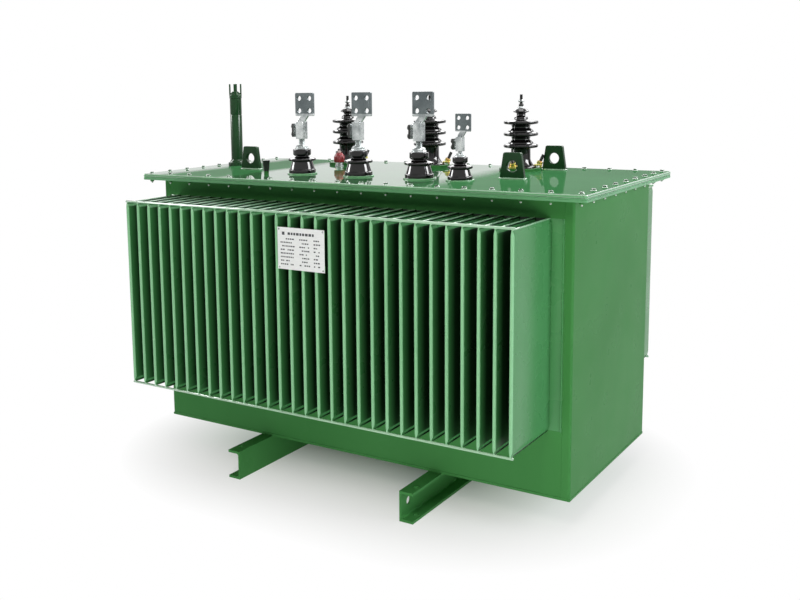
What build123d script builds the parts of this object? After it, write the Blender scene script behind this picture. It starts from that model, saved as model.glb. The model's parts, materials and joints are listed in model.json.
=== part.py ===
from build123d import *

import os
from dataclasses import dataclass
from math import cos, radians, sin

# Oil-filled distribution transformer with corrugated cooling walls, in millimetres.
# +Z is up, +X runs along the tank and -Y is the low-voltage side, which has the nameplate.
# The origin is on the ground, under the middle of the tank.

# Skids: two rolled channels under the tank, flanges outwards
skid_length = 1100
skid_height = 100
skid_flange_width = 48
skid_web_thickness = 5.3
skid_flange_thickness = 8.5
skid_root_radius = 8
skid_gap = 638
haul_hole_diameter = 26
haul_hole_from_end = 50
haul_hole_height = 53
anchor_hole_diameter = 18
anchor_hole_from_end = 50
anchor_hole_from_web = 33

# Tank
tank_length = 1596
tank_width = 716
base_thickness = 8
wall_thickness = 5
top_band_height = 57
end_fold_width = 28
end_fold_radius = 8

# Corrugated walls: flat oil-filled fins folded from one sheet, pressed together and welded at both ends
sheet_thickness = 2
fin_pitch = 50
fin_edge_margin = 45
fin_depth = 275
fin_thickness = 11
fin_height = 644
fin_foot = 206
fin_pressed_thickness = 4
fin_press_length = 24
fin_corner_radius = 5
tie_rod_diameter = 8
tie_rod_setback = 6
tie_rod_overrun = 8
edge_lip_width = 5
edge_lip_depth = 6

# Cover joint
cover_overhang = 56
rim_thickness = 8
gasket_thickness = 4
gasket_inset = 5
cover_thickness = 10
cover_corner_radius = 8

# Lifting lugs on the cover: one at the left, a pair at the right
lug_base_width = 88
lug_top_width = 62
lug_height = 88
lug_thickness = 16
lug_corner_radius = 7
lug_hole_diameter = 38
lug_hole_height = 43
left_lug_from_end = 210
left_lug_from_front = 263
right_lugs_beside_bushing = 106
front_lug_from_front = 298
back_lug_from_back = 54

# High-voltage bushings, in a row at the back
hv_pitch = 368
hv_row_from_back = 108
hv_flange_diameter = 112
hv_flange_height = 16
hv_flange_ledge = 8
hv_shoulder_height = 36
hv_body_diameter = 66
hv_shed_diameter = 122
hv_shed_count = 3
hv_first_shed_height = 86
hv_shed_pitch = 42
hv_shed_rim = 6
hv_shed_crown_diameter = 88
hv_shed_crown_rise = 9
hv_shed_rise = 25
hv_neck_height = 190
hv_head_diameter = 52
hv_head_waist = 38
hv_head_height = 32
hv_head_rim = 5
hv_ring_diameter = 150
hv_ring_thickness = 10
hv_ring_clearance = 0.3
hv_claw_count = 3
hv_claw_first_angle = 30
hv_claw_width = 30
hv_claw_thickness = 8
hv_claw_stud_diameter = 12
hv_claw_stud_height = 60
hv_claw_nut_across_flats = 19
hv_claw_nut_height = 10
hv_nut_across_flats = 24
hv_nut_height = 10
hv_stud_diameter = 12
hv_stud_height = 271

# Low-voltage bushings, in a row at the front, with the smaller neutral at the right
lv_pitch = 240
lv_row_offset = -52
lv_row_from_front = 183
neutral_pitch = 152

# Filler pipe at the left
pipe_from_end = 35
pipe_offset = 35
pipe_diameter = 47
pipe_bore = 40
pipe_height = 268
pipe_flange_diameter = 62
pipe_flange_thickness = 20
pipe_cap_diameter = 50
pipe_cap_skirt = 16
pipe_cap_crown = 12
pipe_cap_top_diameter = 26
wing_count = 3
wing_height = 42
wing_thickness = 5
wing_width = 12

# Relief valve beside the first high-voltage bushing
relief_beside_bushing = 23
relief_before_bushing = 100
relief_body_diameter = 34
relief_body_height = 16
relief_cap_diameter = 43
relief_cap_height = 36
relief_knob_diameter = 15
relief_knob_height = 8

# Thermometer pocket beside the left lug
pocket_beside_lug = 174
pocket_from_front = 128
pocket_stem_diameter = 18
pocket_stem_height = 10
pocket_foot_diameter = 20
pocket_head_diameter = 28
pocket_head_height = 40

# Nameplate on the front fins
nameplate_offset = 24
nameplate_width = 178
nameplate_height = 133
nameplate_thickness = 1.5
nameplate_top = 41
nameplate_strap_width = 18
nameplate_strap_thickness = 3
nameplate_strap_inset = 14


@dataclass(frozen=True)
class LowVoltageBushing:
    """Sizes of one low-voltage bushing and the clamp connector on its stud."""

    base_diameter: float
    base_foot: float
    base_height: float
    base_top_diameter: float
    neck_diameter: float
    shed_height: float
    shed_diameter: float
    shed_thickness: float
    shed_dish: float
    seat_diameter: float
    seat_height: float
    collar_diameter: float
    collar_height: float
    nut_diameter: float
    nut_height: float
    stud_diameter: float
    stud_height: float
    block_start: float
    block_height: float
    block_width: float
    strap_gap: float
    strap_thickness: float
    strap_height: float
    bolt_diameter: float
    bolt_head_diameter: float
    bolt_head_height: float
    neck_width: float
    palm_bottom: float
    palm_width: float
    palm_height: float
    palm_thickness: float
    palm_offset: float
    palm_hole_diameter: float
    palm_hole_pitch: float
    palm_corner_radius: float


line_bushing = LowVoltageBushing(
    base_diameter=96,
    base_foot=12,
    base_height=28,
    base_top_diameter=76,
    neck_diameter=52,
    shed_height=46,
    shed_diameter=96,
    shed_thickness=6,
    shed_dish=7,
    seat_diameter=38,
    seat_height=62,
    collar_diameter=66,
    collar_height=28,
    nut_diameter=50,
    nut_height=16,
    stud_diameter=22,
    stud_height=192,
    block_start=126,
    block_height=62,
    block_width=30,
    strap_gap=9,
    strap_thickness=9,
    strap_height=48,
    bolt_diameter=10,
    bolt_head_diameter=16,
    bolt_head_height=8,
    neck_width=30,
    palm_bottom=208,
    palm_width=78,
    palm_height=82,
    palm_thickness=9,
    palm_offset=16,
    palm_hole_diameter=17,
    palm_hole_pitch=44,
    palm_corner_radius=4,
)

neutral_bushing = LowVoltageBushing(
    base_diameter=82,
    base_foot=10,
    base_height=24,
    base_top_diameter=64,
    neck_diameter=42,
    shed_height=40,
    shed_diameter=82,
    shed_thickness=5,
    shed_dish=6,
    seat_diameter=30,
    seat_height=52,
    collar_diameter=50,
    collar_height=26,
    nut_diameter=36,
    nut_height=12,
    stud_diameter=14,
    stud_height=146,
    block_start=96,
    block_height=46,
    block_width=22,
    strap_gap=7,
    strap_thickness=7,
    strap_height=36,
    bolt_diameter=8,
    bolt_head_diameter=13,
    bolt_head_height=6,
    neck_width=22,
    palm_bottom=160,
    palm_width=55,
    palm_height=58,
    palm_thickness=6,
    palm_offset=11,
    palm_hole_diameter=13,
    palm_hole_pitch=31,
    palm_corner_radius=3,
)

# Levels and faces that several pieces share
base_bottom = skid_height
base_top = base_bottom + base_thickness
fin_bottom = base_top + fin_foot
fin_top = fin_bottom + fin_height
wall_top = fin_top + top_band_height
rim_top = wall_top + rim_thickness
gasket_top = rim_top + gasket_thickness
cover_top = gasket_top + cover_thickness
cover_length = tank_length + 2 * cover_overhang
cover_width = tank_width + 2 * cover_overhang
panel_length = tank_length - 2 * end_fold_width
nose_y = tank_width / 2 + fin_depth

# Fins at an even pitch, as many as the wall takes between its two edge margins
fin_gaps = round((panel_length - 2 * fin_edge_margin) / fin_pitch)
fin_row_length = fin_gaps * fin_pitch

# Places on the cover, measured from the walls of the tank
end_x = tank_length / 2
side_y = tank_width / 2
left_lug_x = left_lug_from_end - end_x
left_lug_y = left_lug_from_front - side_y
right_lugs_x = hv_pitch + right_lugs_beside_bushing
front_lug_y = front_lug_from_front - side_y
back_lug_y = side_y - back_lug_from_back
hv_row_y = side_y - hv_row_from_back
lv_row_y = lv_row_from_front - side_y
neutral_x = lv_row_offset + lv_pitch + neutral_pitch
relief_x = relief_beside_bushing - hv_pitch
relief_y = hv_row_y - relief_before_bushing
pocket_x = left_lug_x + pocket_beside_lug
pocket_y = pocket_from_front - side_y

ON_TOP = (Align.CENTER, Align.CENTER, Align.MIN)
FRONT = -1
BACK = 1
LEFT = -1
RIGHT = 1


def upright_cylinder(diameter, height):
    """A cylinder that stands on the origin."""
    return Cylinder(diameter / 2, height, align=ON_TOP)


def turned(points):
    """A solid of revolution about Z from (radius, height) points."""
    outline = make_face(Polyline(*points, close=True))
    return revolve(Plane.XZ * outline, Axis.Z)


def drilled_along_x(diameter, length):
    """A drill along X, centred on the origin."""
    return Rot(0, 90, 0) * Cylinder(diameter / 2, length)


def skid(side):
    """A channel along Y, its web inwards, drilled for anchors; the right one has hauling holes too."""
    inner_height = skid_height - 2 * skid_flange_thickness
    pocket_depth = skid_flange_width - skid_web_thickness
    outer = Rectangle(skid_flange_width, skid_height, align=(Align.MIN, Align.MIN))
    pocket = Rectangle(2 * pocket_depth, inner_height, align=(Align.MIN, Align.MIN))
    pocket = fillet(pocket.vertices(), skid_root_radius)
    profile = outer - Pos(skid_web_thickness, skid_flange_thickness) * pocket
    channel = extrude(Plane.XZ * profile, skid_length / 2, both=True)

    haul_y = skid_length / 2 - haul_hole_from_end
    anchor_y = skid_length / 2 - anchor_hole_from_end
    haul_hole = drilled_along_x(haul_hole_diameter, 4 * skid_web_thickness)
    anchor_hole = upright_cylinder(anchor_hole_diameter, skid_height)
    for end in (FRONT, BACK):
        channel -= Pos(anchor_hole_from_web, end * anchor_y, 0) * anchor_hole
        if side == RIGHT:
            channel -= Pos(0, end * haul_y, haul_hole_height) * haul_hole
    if side == LEFT:
        channel = mirror(channel, Plane.YZ)
    return Pos(side * skid_gap / 2, 0, 0) * channel


def base_plate():
    """The floor of the tank, on the skids."""
    return Pos(0, 0, base_bottom) * Box(tank_length, tank_width, base_thickness, align=ON_TOP)


def end_wall(side):
    """An end plate whose vertical edges are folded round the corners of the tank."""
    outer = Rectangle(2 * end_fold_width, tank_width)
    outer = fillet(outer.vertices().group_by(Axis.X)[-1], end_fold_radius)
    inner_width = tank_width - 2 * wall_thickness
    inner = Rectangle(2 * (end_fold_width - wall_thickness), inner_width)
    inner = fillet(inner.vertices().group_by(Axis.X)[-1], end_fold_radius - wall_thickness)
    half = Pos(end_fold_width, 0) * Rectangle(2 * end_fold_width, 2 * tank_width)
    profile = (outer - inner) & half
    wall = extrude(profile, wall_top - base_top)
    if side == LEFT:
        wall = mirror(wall, Plane.YZ)
    return Pos(side * panel_length / 2, 0, base_top) * wall


def wall_strip(side, bottom, top):
    """A flat strip of the long wall between two levels."""
    strip = Box(panel_length, wall_thickness, top - bottom, align=ON_TOP)
    return Pos(0, side * (tank_width - wall_thickness) / 2, bottom) * strip


def fin_section(thickness):
    """The plan outline of a fin: flat sides and a rounded nose towards +Y."""
    nose_centre = fin_depth - thickness / 2
    flat = Rectangle(thickness, nose_centre + sheet_thickness, align=(Align.CENTER, Align.MIN))
    return Pos(0, -sheet_thickness) * flat + Pos(0, nose_centre) * Circle(thickness / 2)


def fin():
    """One fin, pressed thin at its two welded ends, with its outer corners rounded."""
    full = fin_section(fin_thickness)
    pressed = fin_section(fin_pressed_thickness)
    straight = fin_height - 2 * fin_press_length
    middle = Pos(0, 0, fin_press_length) * extrude(full, straight)
    lower_end = loft([pressed, Pos(0, 0, fin_press_length) * full])
    upper_start = fin_height - fin_press_length
    upper_end = loft([Pos(0, 0, upper_start) * full, Pos(0, 0, fin_height) * pressed])
    outline = Pos(-sheet_thickness, 0) * Rectangle(fin_depth + sheet_thickness, fin_height, align=Align.MIN)
    outline = fillet(outline.vertices().group_by(Axis.X)[-1], fin_corner_radius)
    side_profile = extrude(Plane.YZ * outline, fin_thickness, both=True)
    return (middle + lower_end + upper_end) & side_profile


def corrugated_wall(side):
    """The folded wall: a sheet with all its fins and a bent lip down each vertical edge."""
    sheet = Box(panel_length, sheet_thickness, fin_height, align=(Align.CENTER, Align.MAX, Align.MIN))
    one_fin = fin()
    fins = [Pos(fin_pitch * index - fin_row_length / 2, 0, 0) * one_fin for index in range(fin_gaps + 1)]
    lip_depth = sheet_thickness + edge_lip_depth
    lip = Box(edge_lip_width, lip_depth, fin_height, align=(Align.CENTER, Align.MIN, Align.MIN))
    lip_x = (panel_length - edge_lip_width) / 2
    lips = [Pos(end * lip_x, -sheet_thickness, 0) * lip for end in (LEFT, RIGHT)]
    wall = Pos(0, side_y, fin_bottom) * (sheet + fins + lips)
    if side == FRONT:
        wall = mirror(wall, Plane.XZ)
    return wall


def tie_rods(side):
    """Two rods welded across the ends of the fins, one above and one below their outer corners."""
    radius = tie_rod_diameter / 2
    rod = drilled_along_x(tie_rod_diameter, fin_row_length + 2 * tie_rod_overrun)
    y = side * (nose_y - tie_rod_setback)
    low = fin_bottom - radius
    high = fin_top + radius
    return Compound([Pos(0, y, low) * rod, Pos(0, y, high) * rod])


def frame_plate(length, width, thickness):
    """A flat frame whose opening is the inside of the tank."""
    opening_length = tank_length - 2 * wall_thickness
    opening_width = tank_width - 2 * wall_thickness
    outline = Rectangle(length, width)
    outline = fillet(outline.vertices(), cover_corner_radius)
    outline -= Rectangle(opening_length, opening_width)
    return extrude(outline, thickness)


def tank_rim():
    """The flange round the top of the tank."""
    return Pos(0, 0, wall_top) * frame_plate(cover_length, cover_width, rim_thickness)


def cover_gasket():
    """The rubber frame between the rim and the cover."""
    length = cover_length - 2 * gasket_inset
    width = cover_width - 2 * gasket_inset
    return Pos(0, 0, rim_top) * frame_plate(length, width, gasket_thickness)


def cover_plate():
    """The cover that carries the bushings and fittings."""
    outline = Rectangle(cover_length, cover_width)
    outline = fillet(outline.vertices(), cover_corner_radius)
    return Pos(0, 0, gasket_top) * extrude(outline, cover_thickness)


def lifting_lug(x, y):
    """A tapered plate with a shackle hole, welded upright on the cover."""
    half_base = lug_base_width / 2
    half_top = lug_top_width / 2
    corners = [(-half_base, 0), (half_base, 0), (half_top, lug_height), (-half_top, lug_height)]
    outline = make_face(Polyline(*corners, close=True))
    outline = fillet(outline.vertices().group_by(Axis.Y)[-1], lug_corner_radius)
    outline -= Pos(0, lug_hole_height) * Circle(lug_hole_diameter / 2)
    plate = extrude(Plane.XZ * outline, lug_thickness / 2, both=True)
    return Pos(x, y, cover_top) * plate


def hv_place(index):
    """Where a high-voltage bushing stands on the cover."""
    return Pos(hv_pitch * (index - 1), hv_row_y, cover_top)


def hv_porcelain():
    """A glazed body with a flared foot, conical sheds and a waisted head."""
    body = hv_body_diameter / 2
    foot = hv_flange_diameter / 2
    head = hv_head_diameter / 2
    head_top = hv_neck_height + hv_head_height
    points = [
        (0, 0),
        (foot, 0),
        (foot, hv_flange_height),
        (foot - hv_flange_ledge, hv_flange_height),
        (body, hv_shoulder_height),
        (body, hv_neck_height - hv_head_rim),
        (head, hv_neck_height),
        (head, hv_neck_height + hv_head_rim),
        (hv_head_waist / 2, hv_neck_height + hv_head_height / 2),
        (head, head_top - hv_head_rim),
        (head, head_top),
        (0, head_top),
    ]
    porcelain = turned(points)
    rim = hv_shed_diameter / 2
    for shed in range(hv_shed_count):
        level = hv_first_shed_height + shed * hv_shed_pitch
        crest = level + hv_shed_rise
        skirt = [
            (0, level),
            (rim, level),
            (rim, level + hv_shed_rim),
            (hv_shed_crown_diameter / 2, level + hv_shed_crown_rise),
            (body, crest),
            (0, crest),
        ]
        porcelain += turned(skirt)
    return porcelain


def hv_claw():
    """A plate on the foot of the porcelain, drawn down by a stud and nut, pointing towards +X."""
    foot = hv_flange_diameter / 2
    ring = hv_ring_diameter / 2
    inner = foot - hv_flange_ledge + hv_ring_clearance
    length = ring - inner
    plate = Box(length, hv_claw_width, hv_claw_thickness, align=(Align.MIN, Align.CENTER, Align.MIN))
    claw = Pos(inner, 0, hv_flange_height) * plate
    stud = upright_cylinder(hv_claw_stud_diameter, hv_claw_stud_height)
    nut = RegularPolygon(hv_claw_nut_across_flats / 2, 6, major_radius=False)
    nut = Pos(0, 0, hv_flange_height + hv_claw_thickness) * extrude(nut, hv_claw_nut_height)
    stud_x = (foot + hv_ring_clearance + ring) / 2
    return claw + Pos(stud_x, 0, 0) * (stud + nut)


def hv_clamp():
    """The steel ring round the foot of the porcelain, with the claws that hold the foot down."""
    bore = hv_flange_diameter / 2 + hv_ring_clearance
    clamp = upright_cylinder(hv_ring_diameter, hv_ring_thickness)
    clamp -= upright_cylinder(2 * bore, hv_ring_thickness)
    one_claw = hv_claw()
    for index in range(hv_claw_count):
        angle = 360 / hv_claw_count * index + hv_claw_first_angle
        clamp += Rot(0, 0, angle) * one_claw
    return clamp


def hv_terminal():
    """The threaded stud with its nut on the head of the porcelain."""
    head_top = hv_neck_height + hv_head_height
    nut = extrude(RegularPolygon(hv_nut_across_flats / 2, 6, major_radius=False), hv_nut_height)
    stud = upright_cylinder(hv_stud_diameter, hv_stud_height - head_top)
    return Pos(0, 0, head_top) * (nut + stud)


def lv_porcelain(size):
    """A broad tapered base, one upturned shed and a cylindrical collar."""
    base = size.base_diameter / 2
    neck = size.neck_diameter / 2
    shed = size.shed_diameter / 2
    seat = size.seat_diameter / 2
    collar = size.collar_diameter / 2
    shed_top = size.shed_height + size.shed_thickness
    collar_top = size.seat_height + size.collar_height
    points = [
        (0, 0),
        (base, 0),
        (base, size.base_foot),
        (size.base_top_diameter / 2, size.base_height),
        (neck, size.base_height),
        (neck, size.shed_height - size.shed_dish),
        (shed, size.shed_height),
        (shed, shed_top),
        (seat, shed_top - size.shed_dish + size.shed_thickness),
        (seat, size.seat_height),
        (collar, size.seat_height),
        (collar, collar_top),
        (0, collar_top),
    ]
    return turned(points)


def lv_stud(size):
    """The stud with the nut that draws it up against the collar."""
    collar_top = size.seat_height + size.collar_height
    shoulder = size.nut_height / 2
    nut_radius = size.nut_diameter / 2
    stud_radius = size.stud_diameter / 2
    points = [
        (0, collar_top),
        (nut_radius, collar_top),
        (nut_radius, collar_top + shoulder),
        (stud_radius + shoulder / 2, collar_top + size.nut_height),
        (stud_radius, collar_top + size.nut_height),
        (stud_radius, size.stud_height),
        (0, size.stud_height),
    ]
    return turned(points)


def lv_connector(size):
    """A clamp block on the stud, its strap on two bolts, and a drilled palm for the busbar."""
    block_side = size.block_width / 2
    block = Box(size.block_width, size.block_width, size.block_height, align=ON_TOP)
    middle = size.block_start + size.block_height / 2
    strap_x = -block_side - size.strap_gap - size.strap_thickness / 2
    strap = Pos(strap_x, 0, middle) * Box(size.strap_thickness, size.block_width, size.strap_height)

    head_x = strap_x - (size.strap_thickness + size.bolt_head_height) / 2
    bolt_length = -block_side - head_x
    bolt = Pos(head_x + bolt_length / 2, 0, 0) * drilled_along_x(size.bolt_diameter, bolt_length)
    bolt += Pos(head_x, 0, 0) * drilled_along_x(size.bolt_head_diameter, size.bolt_head_height)
    bolt_rise = size.strap_height / 2 - size.bolt_diameter
    bolts = Pos(0, 0, middle + bolt_rise) * bolt + Pos(0, 0, middle - bolt_rise) * bolt

    neck_bottom = size.block_start + size.block_height
    neck_left = size.palm_offset - size.neck_width / 2
    neck_right = size.palm_offset + size.neck_width / 2
    neck_corners = [
        (-block_side, neck_bottom),
        (block_side, neck_bottom),
        (neck_right, size.palm_bottom),
        (neck_left, size.palm_bottom),
    ]
    half_thickness = size.palm_thickness / 2
    neck_outline = make_face(Polyline(*neck_corners, close=True))
    neck = extrude(Plane.XZ * neck_outline, half_thickness, both=True)
    outline = Rectangle(size.palm_width, size.palm_height)
    outline = fillet(outline.vertices(), size.palm_corner_radius)
    hole_places = GridLocations(size.palm_hole_pitch, size.palm_hole_pitch, 2, 2)
    outline -= hole_places * Circle(size.palm_hole_diameter / 2)
    palm = extrude(Plane.XZ * outline, half_thickness, both=True)
    palm = Pos(size.palm_offset, 0, size.palm_bottom + size.palm_height / 2) * palm

    stud_bore = upright_cylinder(size.stud_diameter, size.stud_height)
    return Pos(0, 0, size.block_start) * block + strap + bolts + neck + palm - stud_bore


def pipe_place():
    """Where the filler pipe stands on the cover."""
    return Pos(pipe_from_end - end_x, pipe_offset, cover_top)


def filler_pipe():
    """The filling neck with its foot flange."""
    flange = upright_cylinder(pipe_flange_diameter, pipe_flange_thickness)
    pipe = flange + upright_cylinder(pipe_diameter, pipe_height)
    bore = Pos(0, 0, pipe_flange_thickness) * upright_cylinder(pipe_bore, pipe_height)
    return pipe_place() * (pipe - bore)


def filler_cap():
    """The screw cap on the pipe, with three upright wings to turn it by."""
    cap_radius = pipe_cap_diameter / 2
    top_radius = pipe_cap_top_diameter / 2
    skirt_top = pipe_cap_skirt
    points = [
        (0, 0),
        (cap_radius, 0),
        (cap_radius, skirt_top),
        (top_radius, skirt_top + pipe_cap_crown),
        (0, skirt_top + pipe_cap_crown),
    ]
    cap = turned(points)
    wing_radius = cap_radius - wing_thickness / 2
    for index in range(wing_count):
        angle = radians(90 + 360 / wing_count * index)
        wing = Box(wing_thickness, wing_width, skirt_top + wing_height, align=ON_TOP)
        turn = Rot(0, 0, 90 + 360 / wing_count * index)
        cap += Pos(wing_radius * cos(angle), wing_radius * sin(angle), 0) * (turn * wing)
    return pipe_place() * Pos(0, 0, pipe_height) * cap


def relief_valve_body():
    """The threaded foot of the relief valve."""
    return Pos(relief_x, relief_y, cover_top) * upright_cylinder(relief_body_diameter, relief_body_height)


def relief_valve_cap():
    """The coloured cap of the relief valve, with its small knob."""
    cap = upright_cylinder(relief_cap_diameter, relief_cap_height)
    cap += Pos(0, 0, relief_cap_height) * upright_cylinder(relief_knob_diameter, relief_knob_height)
    return Pos(relief_x, relief_y, cover_top + relief_body_height) * cap


def thermometer_pocket():
    """The plugged pocket for a thermometer."""
    stem = pocket_stem_diameter / 2
    foot = pocket_foot_diameter / 2
    head = pocket_head_diameter / 2
    head_top = pocket_stem_height + pocket_head_height
    points = [
        (0, 0),
        (stem, 0),
        (stem, pocket_stem_height),
        (foot, pocket_stem_height),
        (head, head_top),
        (0, head_top),
    ]
    return Pos(pocket_x, pocket_y, cover_top) * turned(points)


def nameplate_level():
    """The middle height of the nameplate."""
    return fin_top - nameplate_top - nameplate_height / 2


def nameplate_straps():
    """Two flat straps across the noses of the fins that carry the nameplate."""
    strap = Box(nameplate_width, nameplate_strap_thickness, nameplate_strap_width)
    y = -nose_y - nameplate_strap_thickness / 2
    rise = nameplate_height / 2 - nameplate_strap_inset
    level = nameplate_level()
    places = [Pos(nameplate_offset, y, level + turn * rise) for turn in (-1, 1)]
    return Compound([place * strap for place in places])


def nameplate():
    """The blank plate on the straps."""
    plate = Box(nameplate_width, nameplate_thickness, nameplate_height)
    y = -nose_y - nameplate_strap_thickness - nameplate_thickness / 2
    return Pos(nameplate_offset, y, nameplate_level()) * plate


def tank_parts():
    """Every piece of the tank and its skids."""
    parts = {
        "skid_left": skid(LEFT),
        "skid_right": skid(RIGHT),
        "base_plate": base_plate(),
        "left_end_wall": end_wall(LEFT),
        "right_end_wall": end_wall(RIGHT),
        "tank_rim": tank_rim(),
        "cover_gasket": cover_gasket(),
        "cover_plate": cover_plate(),
    }
    for name, side in (("front", FRONT), ("back", BACK)):
        parts[f"{name}_apron"] = wall_strip(side, base_top, fin_bottom)
        parts[f"{name}_corrugated_wall"] = corrugated_wall(side)
        parts[f"{name}_top_band"] = wall_strip(side, fin_top, wall_top)
        parts[f"{name}_tie_rods"] = tie_rods(side)
    return parts


def cover_parts():
    """Every piece that stands on the cover."""
    parts = {
        "lifting_lug_left": lifting_lug(left_lug_x, left_lug_y),
        "lifting_lug_right_front": lifting_lug(right_lugs_x, front_lug_y),
        "lifting_lug_right_back": lifting_lug(right_lugs_x, back_lug_y),
        "filler_pipe": filler_pipe(),
        "filler_cap": filler_cap(),
        "relief_valve_body": relief_valve_body(),
        "relief_valve_cap": relief_valve_cap(),
        "thermometer_pocket": thermometer_pocket(),
    }
    for index, phase in enumerate(("left", "middle", "right")):
        parts[f"hv_porcelain_{phase}"] = hv_place(index) * hv_porcelain()
        parts[f"hv_clamp_{phase}"] = hv_place(index) * hv_clamp()
        parts[f"hv_terminal_{phase}"] = hv_place(index) * hv_terminal()
    lv_places = {
        "left": (lv_row_offset - lv_pitch, line_bushing),
        "middle": (lv_row_offset, line_bushing),
        "right": (lv_row_offset + lv_pitch, line_bushing),
        "neutral": (neutral_x, neutral_bushing),
    }
    for phase, (x, size) in lv_places.items():
        place = Pos(x, lv_row_y, cover_top)
        parts[f"lv_porcelain_{phase}"] = place * lv_porcelain(size)
        parts[f"lv_stud_{phase}"] = place * lv_stud(size)
        parts[f"lv_connector_{phase}"] = place * lv_connector(size)
    return parts


def all_parts():
    """Every piece of the transformer by name."""
    return {
        **tank_parts(),
        **cover_parts(),
        "nameplate_straps": nameplate_straps(),
        "nameplate": nameplate(),
    }


os.makedirs("parts", exist_ok=True)
for node, shape in all_parts().items():
    export_step(shape, f"parts/{node}.step")
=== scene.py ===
# %% [markdown]
# # An oil-filled power transformer with a corrugated tank
# The steel, porcelain and terminals come in as a fixed frame of named solids. This lesson dresses them:
# every edge gets its small bevel, every finish its material, and the bolts, welds, threads and glazed
# curves that a photograph shows are modelled on top. Everything is in metres, in the frame's own axes:
# +X along the tank, -Y towards the low-voltage side and +Z up.

# %% Load the fixed frame
import json
import math
import random

import bmesh
import bpy
from mathutils import Matrix, Vector


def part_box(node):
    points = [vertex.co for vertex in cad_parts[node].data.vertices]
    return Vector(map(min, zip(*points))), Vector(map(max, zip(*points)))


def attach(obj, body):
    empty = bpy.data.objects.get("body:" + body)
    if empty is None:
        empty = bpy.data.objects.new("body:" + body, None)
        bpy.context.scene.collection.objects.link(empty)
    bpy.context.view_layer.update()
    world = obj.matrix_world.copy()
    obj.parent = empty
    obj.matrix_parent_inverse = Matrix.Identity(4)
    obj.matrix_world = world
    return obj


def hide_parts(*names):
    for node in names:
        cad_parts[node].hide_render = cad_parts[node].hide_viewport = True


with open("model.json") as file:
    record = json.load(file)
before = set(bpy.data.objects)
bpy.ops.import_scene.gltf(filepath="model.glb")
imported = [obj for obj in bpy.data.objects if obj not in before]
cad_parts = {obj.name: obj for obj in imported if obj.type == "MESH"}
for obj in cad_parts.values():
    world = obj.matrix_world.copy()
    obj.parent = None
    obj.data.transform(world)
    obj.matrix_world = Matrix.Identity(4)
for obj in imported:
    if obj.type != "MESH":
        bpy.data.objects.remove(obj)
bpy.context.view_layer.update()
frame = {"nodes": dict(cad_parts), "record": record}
nodes = frame["nodes"]

# %% [markdown]
# ## The camera
# The photograph was taken from the right of the low-voltage side, a little above the cover. Its place was
# worked out by matching known edges of the tank, so the eye, the bearing and the small tilt are plain
# values. The lens axis doesn't pass through the middle of the picture, because the picture was cropped:
# the camera's shift says by how much.

# %% Camera
EYE = Vector((1.847, -3.183, 1.367))
BEARING = math.radians(34.49)
DIP = math.radians(8.17)
TILT = math.radians(-1.04)
LENS_MM = 46.0
SENSOR_MM = 36.0
SHIFT_RIGHT = 0.10
SHIFT_UP = -0.09


def camera_matrix(eye, bearing, dip, tilt):
    """The camera's place and axes; it looks along its own -Z."""
    forward = Vector((-math.sin(bearing) * math.cos(dip), math.cos(bearing) * math.cos(dip), -math.sin(dip)))
    level = Vector((math.cos(bearing), math.sin(bearing), 0))
    upright = level.cross(forward)
    right = math.cos(tilt) * level + math.sin(tilt) * upright
    up = math.cos(tilt) * upright - math.sin(tilt) * level
    turn = Matrix((right, up, -forward)).transposed().to_4x4()
    return Matrix.Translation(eye) @ turn


camera_data = bpy.data.cameras.new("photo_camera")
camera_data.lens = LENS_MM
camera_data.sensor_width = SENSOR_MM
camera_data.shift_x = SHIFT_RIGHT
camera_data.shift_y = SHIFT_UP
camera = bpy.data.objects.new("photo_camera", camera_data)
camera.matrix_world = camera_matrix(EYE, BEARING, DIP, TILT)
scene = bpy.context.scene
scene.collection.objects.link(camera)
scene.camera = camera
print("camera at", [round(value, 2) for value in EYE])

# %% [markdown]
# ## Materials from nodes
# Each finish is one Principled shader. Constant values such as the coat or the metal's index are set on
# the shader's own sockets, and only colour, roughness and bump are fed by patterns. The patterns read
# Object coordinates: every piece sits at the origin with its place in its mesh, so a pattern keeps its
# real size and doesn't slide from piece to piece.

# %% Helpers for shader nodes
def srgb(red, green, blue):
    """A colour as a picture editor shows it, 0 to 255, made linear for the shader."""
    parts = [value / 255 for value in (red, green, blue)]
    linear = [value / 12.92 if value <= 0.04045 else ((value + 0.055) / 1.055) ** 2.4 for value in parts]
    return (*linear, 1.0)


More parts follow.
